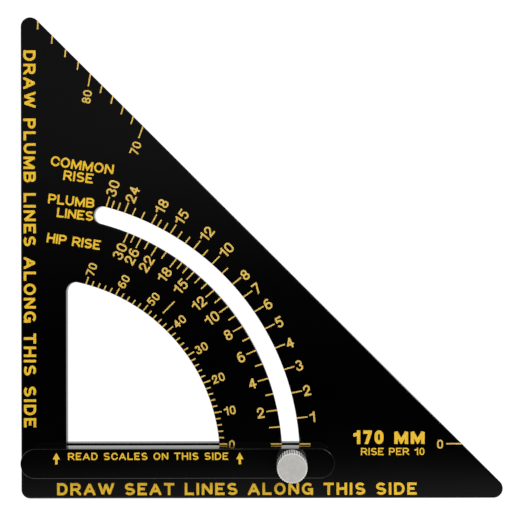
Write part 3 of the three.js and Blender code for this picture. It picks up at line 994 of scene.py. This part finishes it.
# Lettering on the arm
ARM_TEXT_START, ARM_TEXT_LENGTH = (12.05, 1.36), 55.9
ARROW_PLACES = ((8.0, -0.15), (72.0, -0.15))
ARROW = ([(-1.27, 1.75), (0, 1.75), (0, 4.05)], [(0, 1.75), (1.27, 1.75), (0, 4.05)],
         [(-0.42, 0), (0.42, 0), (0.42, 1.75), (-0.42, 1.75)])
arm_wording = Print(FRONT_TOP)
arm_wording.fitted("READ SCALES ON THIS SIDE", *ARM_TEXT_START, 0, 2.55, 0.46, ARM_TEXT_LENGTH)
for x, y in ARROW_PLACES:
    arm_wording.place(ARROW, x, y, 0)
arm_wording.make("arm_wording_print", "arm", gold_ink)

# Camera, floor and light -----------------------------------------------------------------------

IMAGE_WIDTH = 530
CAMERA_CENTRE = (0.001755, -0.000745)
CAMERA_HEIGHT = 0.286  # above the plate's face
CAMERA_SHIFT = (-1.65, -5.4)  # in pixels
camera_data = bpy.data.cameras.new("camera")
camera = bpy.data.objects.new("camera", camera_data)
bpy.context.scene.collection.objects.link(camera)
bpy.context.scene.camera = camera
camera.location = (*CAMERA_CENTRE, PLATE_TOP * MM + CAMERA_HEIGHT)
camera.rotation_euler = (0, 0, math.radians(-0.1))
camera_data.lens = 54.57
camera_data.sensor_width = 36
camera_data.shift_x = CAMERA_SHIFT[0] / IMAGE_WIDTH
camera_data.shift_y = CAMERA_SHIFT[1] / IMAGE_WIDTH
camera_data.clip_start = 0.01
camera_data.clip_end = 20


def panel(name, size, location, material):
    """A level square that isn't part of the object."""
    mesh = bpy.data.meshes.new(name)
    half = size / 2
    corners = [(-half, -half, 0), (half, -half, 0), (half, half, 0), (-half, half, 0)]
    mesh.from_pydata(corners, [], [(0, 1, 2, 3)])
    mesh.materials.append(material)
    made = bpy.data.objects.new(name, mesh)
    made.location = location
    bpy.context.scene.collection.objects.link(made)


floor = Nodes("floor_white")
floor.set(Base_Color=floor.blend(floor.noise(3), (0.08, 0.08, 0.08), (0.1, 0.1, 0.1)), Roughness=0.9,
          Specular_IOR_Level=0.0, Emission_Color=(1, 1, 1, 1), Emission_Strength=1.02)
FLOOR_SIZE = 6
panel("floor", FLOOR_SIZE, (0, 0, 0), floor.material)

# An overhead softbox, bright towards +Y, dark over the middle and bright again at its near edge
ceiling = Nodes("ceiling_softbox")
axes = ceiling.add("ShaderNodeSeparateXYZ", {"Vector": ceiling.place})
CEILING_HEIGHT = 1.6
CEILING_HALF = 0.75
CEILING_STOPS = (  # place along Y in metres, and brightness there
    (-0.62, 0.36), (-0.545, 0.20), (-0.493, 0.055), (-0.467, 0.014), (-0.43, 0.0), (-0.335, 0.0),
    (-0.193, 0.006), (-0.10, 0.018), (-0.005, 0.042), (0.089, 0.080), (0.184, 0.120), (0.254, 0.155),
    (0.6, 0.175),
)
ramp = ceiling.add("ShaderNodeValToRGB")
scaled = ceiling.ramp(axes.outputs["Y"], 0, 1, -CEILING_HALF, CEILING_HALF)
ceiling.tree.links.new(scaled, ramp.inputs["Fac"])
while len(ramp.color_ramp.elements) < len(CEILING_STOPS):
    ramp.color_ramp.elements.new(0.5)
for element, (y, value) in zip(ramp.color_ramp.elements, CEILING_STOPS):
    element.position = (y + CEILING_HALF) / (2 * CEILING_HALF)
    element.color = (value, value, value * 1.02, 1)
ceiling.set(Base_Color=(0, 0, 0, 1), Specular_IOR_Level=0.0, Emission_Color=ramp.outputs["Color"],
            Emission_Strength=ceiling.ramp(axes.outputs["X"], 0.85, 1.25, -0.6, 0.6))
panel("ceiling", 2 * CEILING_HALF, (0, 0, CEILING_HEIGHT), ceiling.material)

LIGHT_DISTANCE = 2.0
LIGHTS = (  # name, azimuth and elevation in degrees, diameter in metres, watts
    ("light_key", 35, 60, 1.0, 33),
    ("light_back", 100, 34, 0.6, 7),
    ("light_front", -100, 36, 1.6, 9),
)
for name, azimuth, elevation, size, energy in LIGHTS:
    data = bpy.data.lights.new(name, "AREA")
    data.shape = "DISK"
    data.size = size
    data.energy = energy
    light = bpy.data.objects.new(name, data)
    turn, height = math.radians(azimuth), math.radians(elevation)
    light.location = LIGHT_DISTANCE * Vector((math.cos(height) * math.cos(turn),
                                              math.cos(height) * math.sin(turn), math.sin(height)))
    light.rotation_euler = (-light.location).to_track_quat("-Z", "Y").to_euler()
    bpy.context.scene.collection.objects.link(light)

# The room: pale near the horizon, dark overhead
world = bpy.data.worlds.new("room")
world.use_nodes = True
bpy.context.scene.world = world
tree = world.node_tree
background = tree.nodes["Background"]
direction = tree.nodes.new("ShaderNodeSeparateXYZ")
tree.links.new(tree.nodes.new("ShaderNodeTexCoord").outputs["Generated"], direction.inputs[0])
fade = tree.nodes.new("ShaderNodeMapRange")
fade.interpolation_type = "SMOOTHSTEP"
for socket, value in {"From Min": 0.15, "From Max": 0.6, "To Min": 0.9, "To Max": 0.16}.items():
    fade.inputs[socket].default_value = value
tree.links.new(direction.outputs["Z"], fade.inputs["Value"])
tree.links.new(fade.outputs["Result"], background.inputs["Strength"])
background.inputs["Color"].default_value = (1, 1, 1, 1)

bpy.context.scene.view_settings.view_transform = "Standard"
